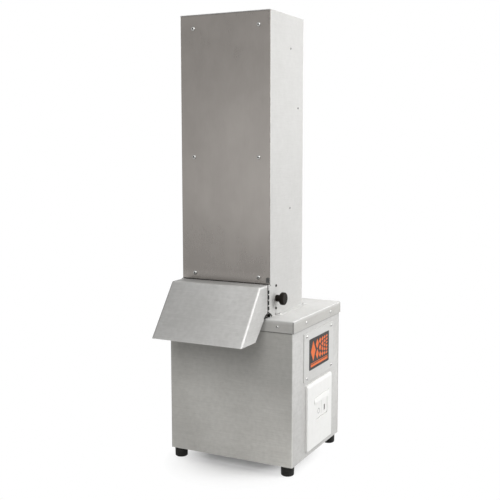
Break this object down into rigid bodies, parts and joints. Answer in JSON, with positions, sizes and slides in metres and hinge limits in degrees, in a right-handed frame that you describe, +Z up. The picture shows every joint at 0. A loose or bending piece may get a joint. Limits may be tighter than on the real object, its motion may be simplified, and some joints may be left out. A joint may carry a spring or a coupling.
{
  "type": "sugar grinder",
  "caption": "Floor-standing bakery sugar grinder: motor cabinet on rubber feet, hopper tower with lid, beater mill in its foot and a hinged, clamped discharge hood.",
  "frame": {"origin": "on the floor, under the centre of the cabinet", "axes": "+X to the machine's right, -Y to its front, +Z up"},
  "size_m": [0.3644, 0.4675, 1.142],
  "materials": {
    "satin_steel": "satin stainless sheet",
    "stainless": "brushed stainless",
    "machined_steel": "machined steel",
    "zinc_screw": "zinc plated",
    "black_rubber": "matt",
    "white_plastic": "satin moulded",
    "black_plastic": "satin moulded",
    "motor_paint": "semi-gloss grey",
    "laminations": "stacked sheet",
    "copper": "varnished wire",
    "brass": "turned",
    "label_film": "printed film"
  },
  "bodies": {
    "machine": {"cabinet_wrapper": "satin_steel", "cabinet_floor": "satin_steel", "rear_panel": "satin_steel", "cabinet_cap": "satin_steel", "tower_column": "satin_steel", "cover_plate": "satin_steel", "front_panel": "stainless", "hopper_funnel": "stainless", "mill_base": "stainless", "mill_cover": "stainless", "sieve_ring": "stainless", "mill_posts": "stainless", "lid_hinge_leaf": "machined_steel", "lid_hinge_pin": "machined_steel", "hood_hinge_rod": "machined_steel", "tie_bars": "machined_steel", "clamp_bracket": "machined_steel", "clamp_stud": "machined_steel", "motor_bearings": "machined_steel", "rear_panel_screws": "zinc_screw", "cap_screws": "zinc_screw", "foot_bolts": "zinc_screw", "cover_plate_screws": "zinc_screw", "switch_screws": "zinc_screw", "column_screws": "zinc_screw", "front_panel_screws": "zinc_screw", "panel_insert_nuts": "zinc_screw", "tie_bar_screws": "zinc_screw", "clamp_bracket_screws": "zinc_screw", "motor_bolts": "zinc_screw", "rubber_feet": "black_rubber", "hood_bumper": "black_rubber", "shaft_seal": "black_rubber", "motor_lead": "black_rubber", "switch_plate": "white_plastic", "cable_gland": "black_plastic", "switch_block": "black_plastic", "motor_flange": "motor_paint", "motor_frame": "motor_paint", "motor_rear_shield": "motor_paint", "motor_fan_cowl": "motor_paint", "terminal_box": "motor_paint", "stator_core": "laminations", "stator_windings": "copper", "label_plate": "label_film"},
    "mill_rotor": {"rotor_disc": "machined_steel", "beaters": "machined_steel", "rotor_nut": "machined_steel", "motor_shaft": "machined_steel", "motor_rotor_core": "laminations", "motor_fan": "black_plastic"},
    "hood": {"discharge_hood": "satin_steel", "hood_seals": "black_rubber", "hood_tongue": "machined_steel"},
    "lid": {"hopper_lid": "satin_steel"},
    "clamp_slide": {"clamp_washer": "machined_steel"},
    "knob": {"clamp_knob": "black_plastic", "knob_insert": "brass"},
    "start": {"start_button": "white_plastic"},
    "stop": {"stop_button": "white_plastic"}
  },
  "joints": [
    {"name": "mill_spin", "type": "hinge", "parent": "machine", "child": "mill_rotor", "pos_m": [-0.02, -0.037, 0.405], "axis": [0, 0, 1], "continuous": true},
    {"name": "hood_swing", "type": "hinge", "parent": "machine", "child": "hood", "pos_m": [-0.02, -0.141, 0.4745], "axis": [-1, 0, 0], "range_deg": [0, 58]},
    {"name": "lid_open", "type": "hinge", "parent": "machine", "child": "lid", "pos_m": [-0.02, 0.0656, 1.139], "axis": [-1, 0, 0], "range_deg": [0, 100]},
    {"name": "clamp_travel", "type": "slide", "parent": "machine", "child": "clamp_slide", "axis": [1, 0, 0], "range_m": [0, 0.00251]},
    {"name": "knob_turn", "type": "hinge", "parent": "clamp_slide", "child": "knob", "pos_m": [0.105, -0.1025, 0.4395], "axis": [1, 0, 0], "range_deg": [0, 720]},
    {"name": "start_press", "type": "slide", "parent": "machine", "child": "start", "axis": [-1, 0, 0], "range_m": [0, 0.004], "stiffness_N_per_m": 400},
    {"name": "stop_press", "type": "slide", "parent": "machine", "child": "stop", "axis": [-1, 0, 0], "range_m": [0, 0.004], "stiffness_N_per_m": 400}
  ],
  "couplings": [
    {"joint": "clamp_travel", "follows": "knob_turn", "m_per_rad": 0.00019894}
  ]
}
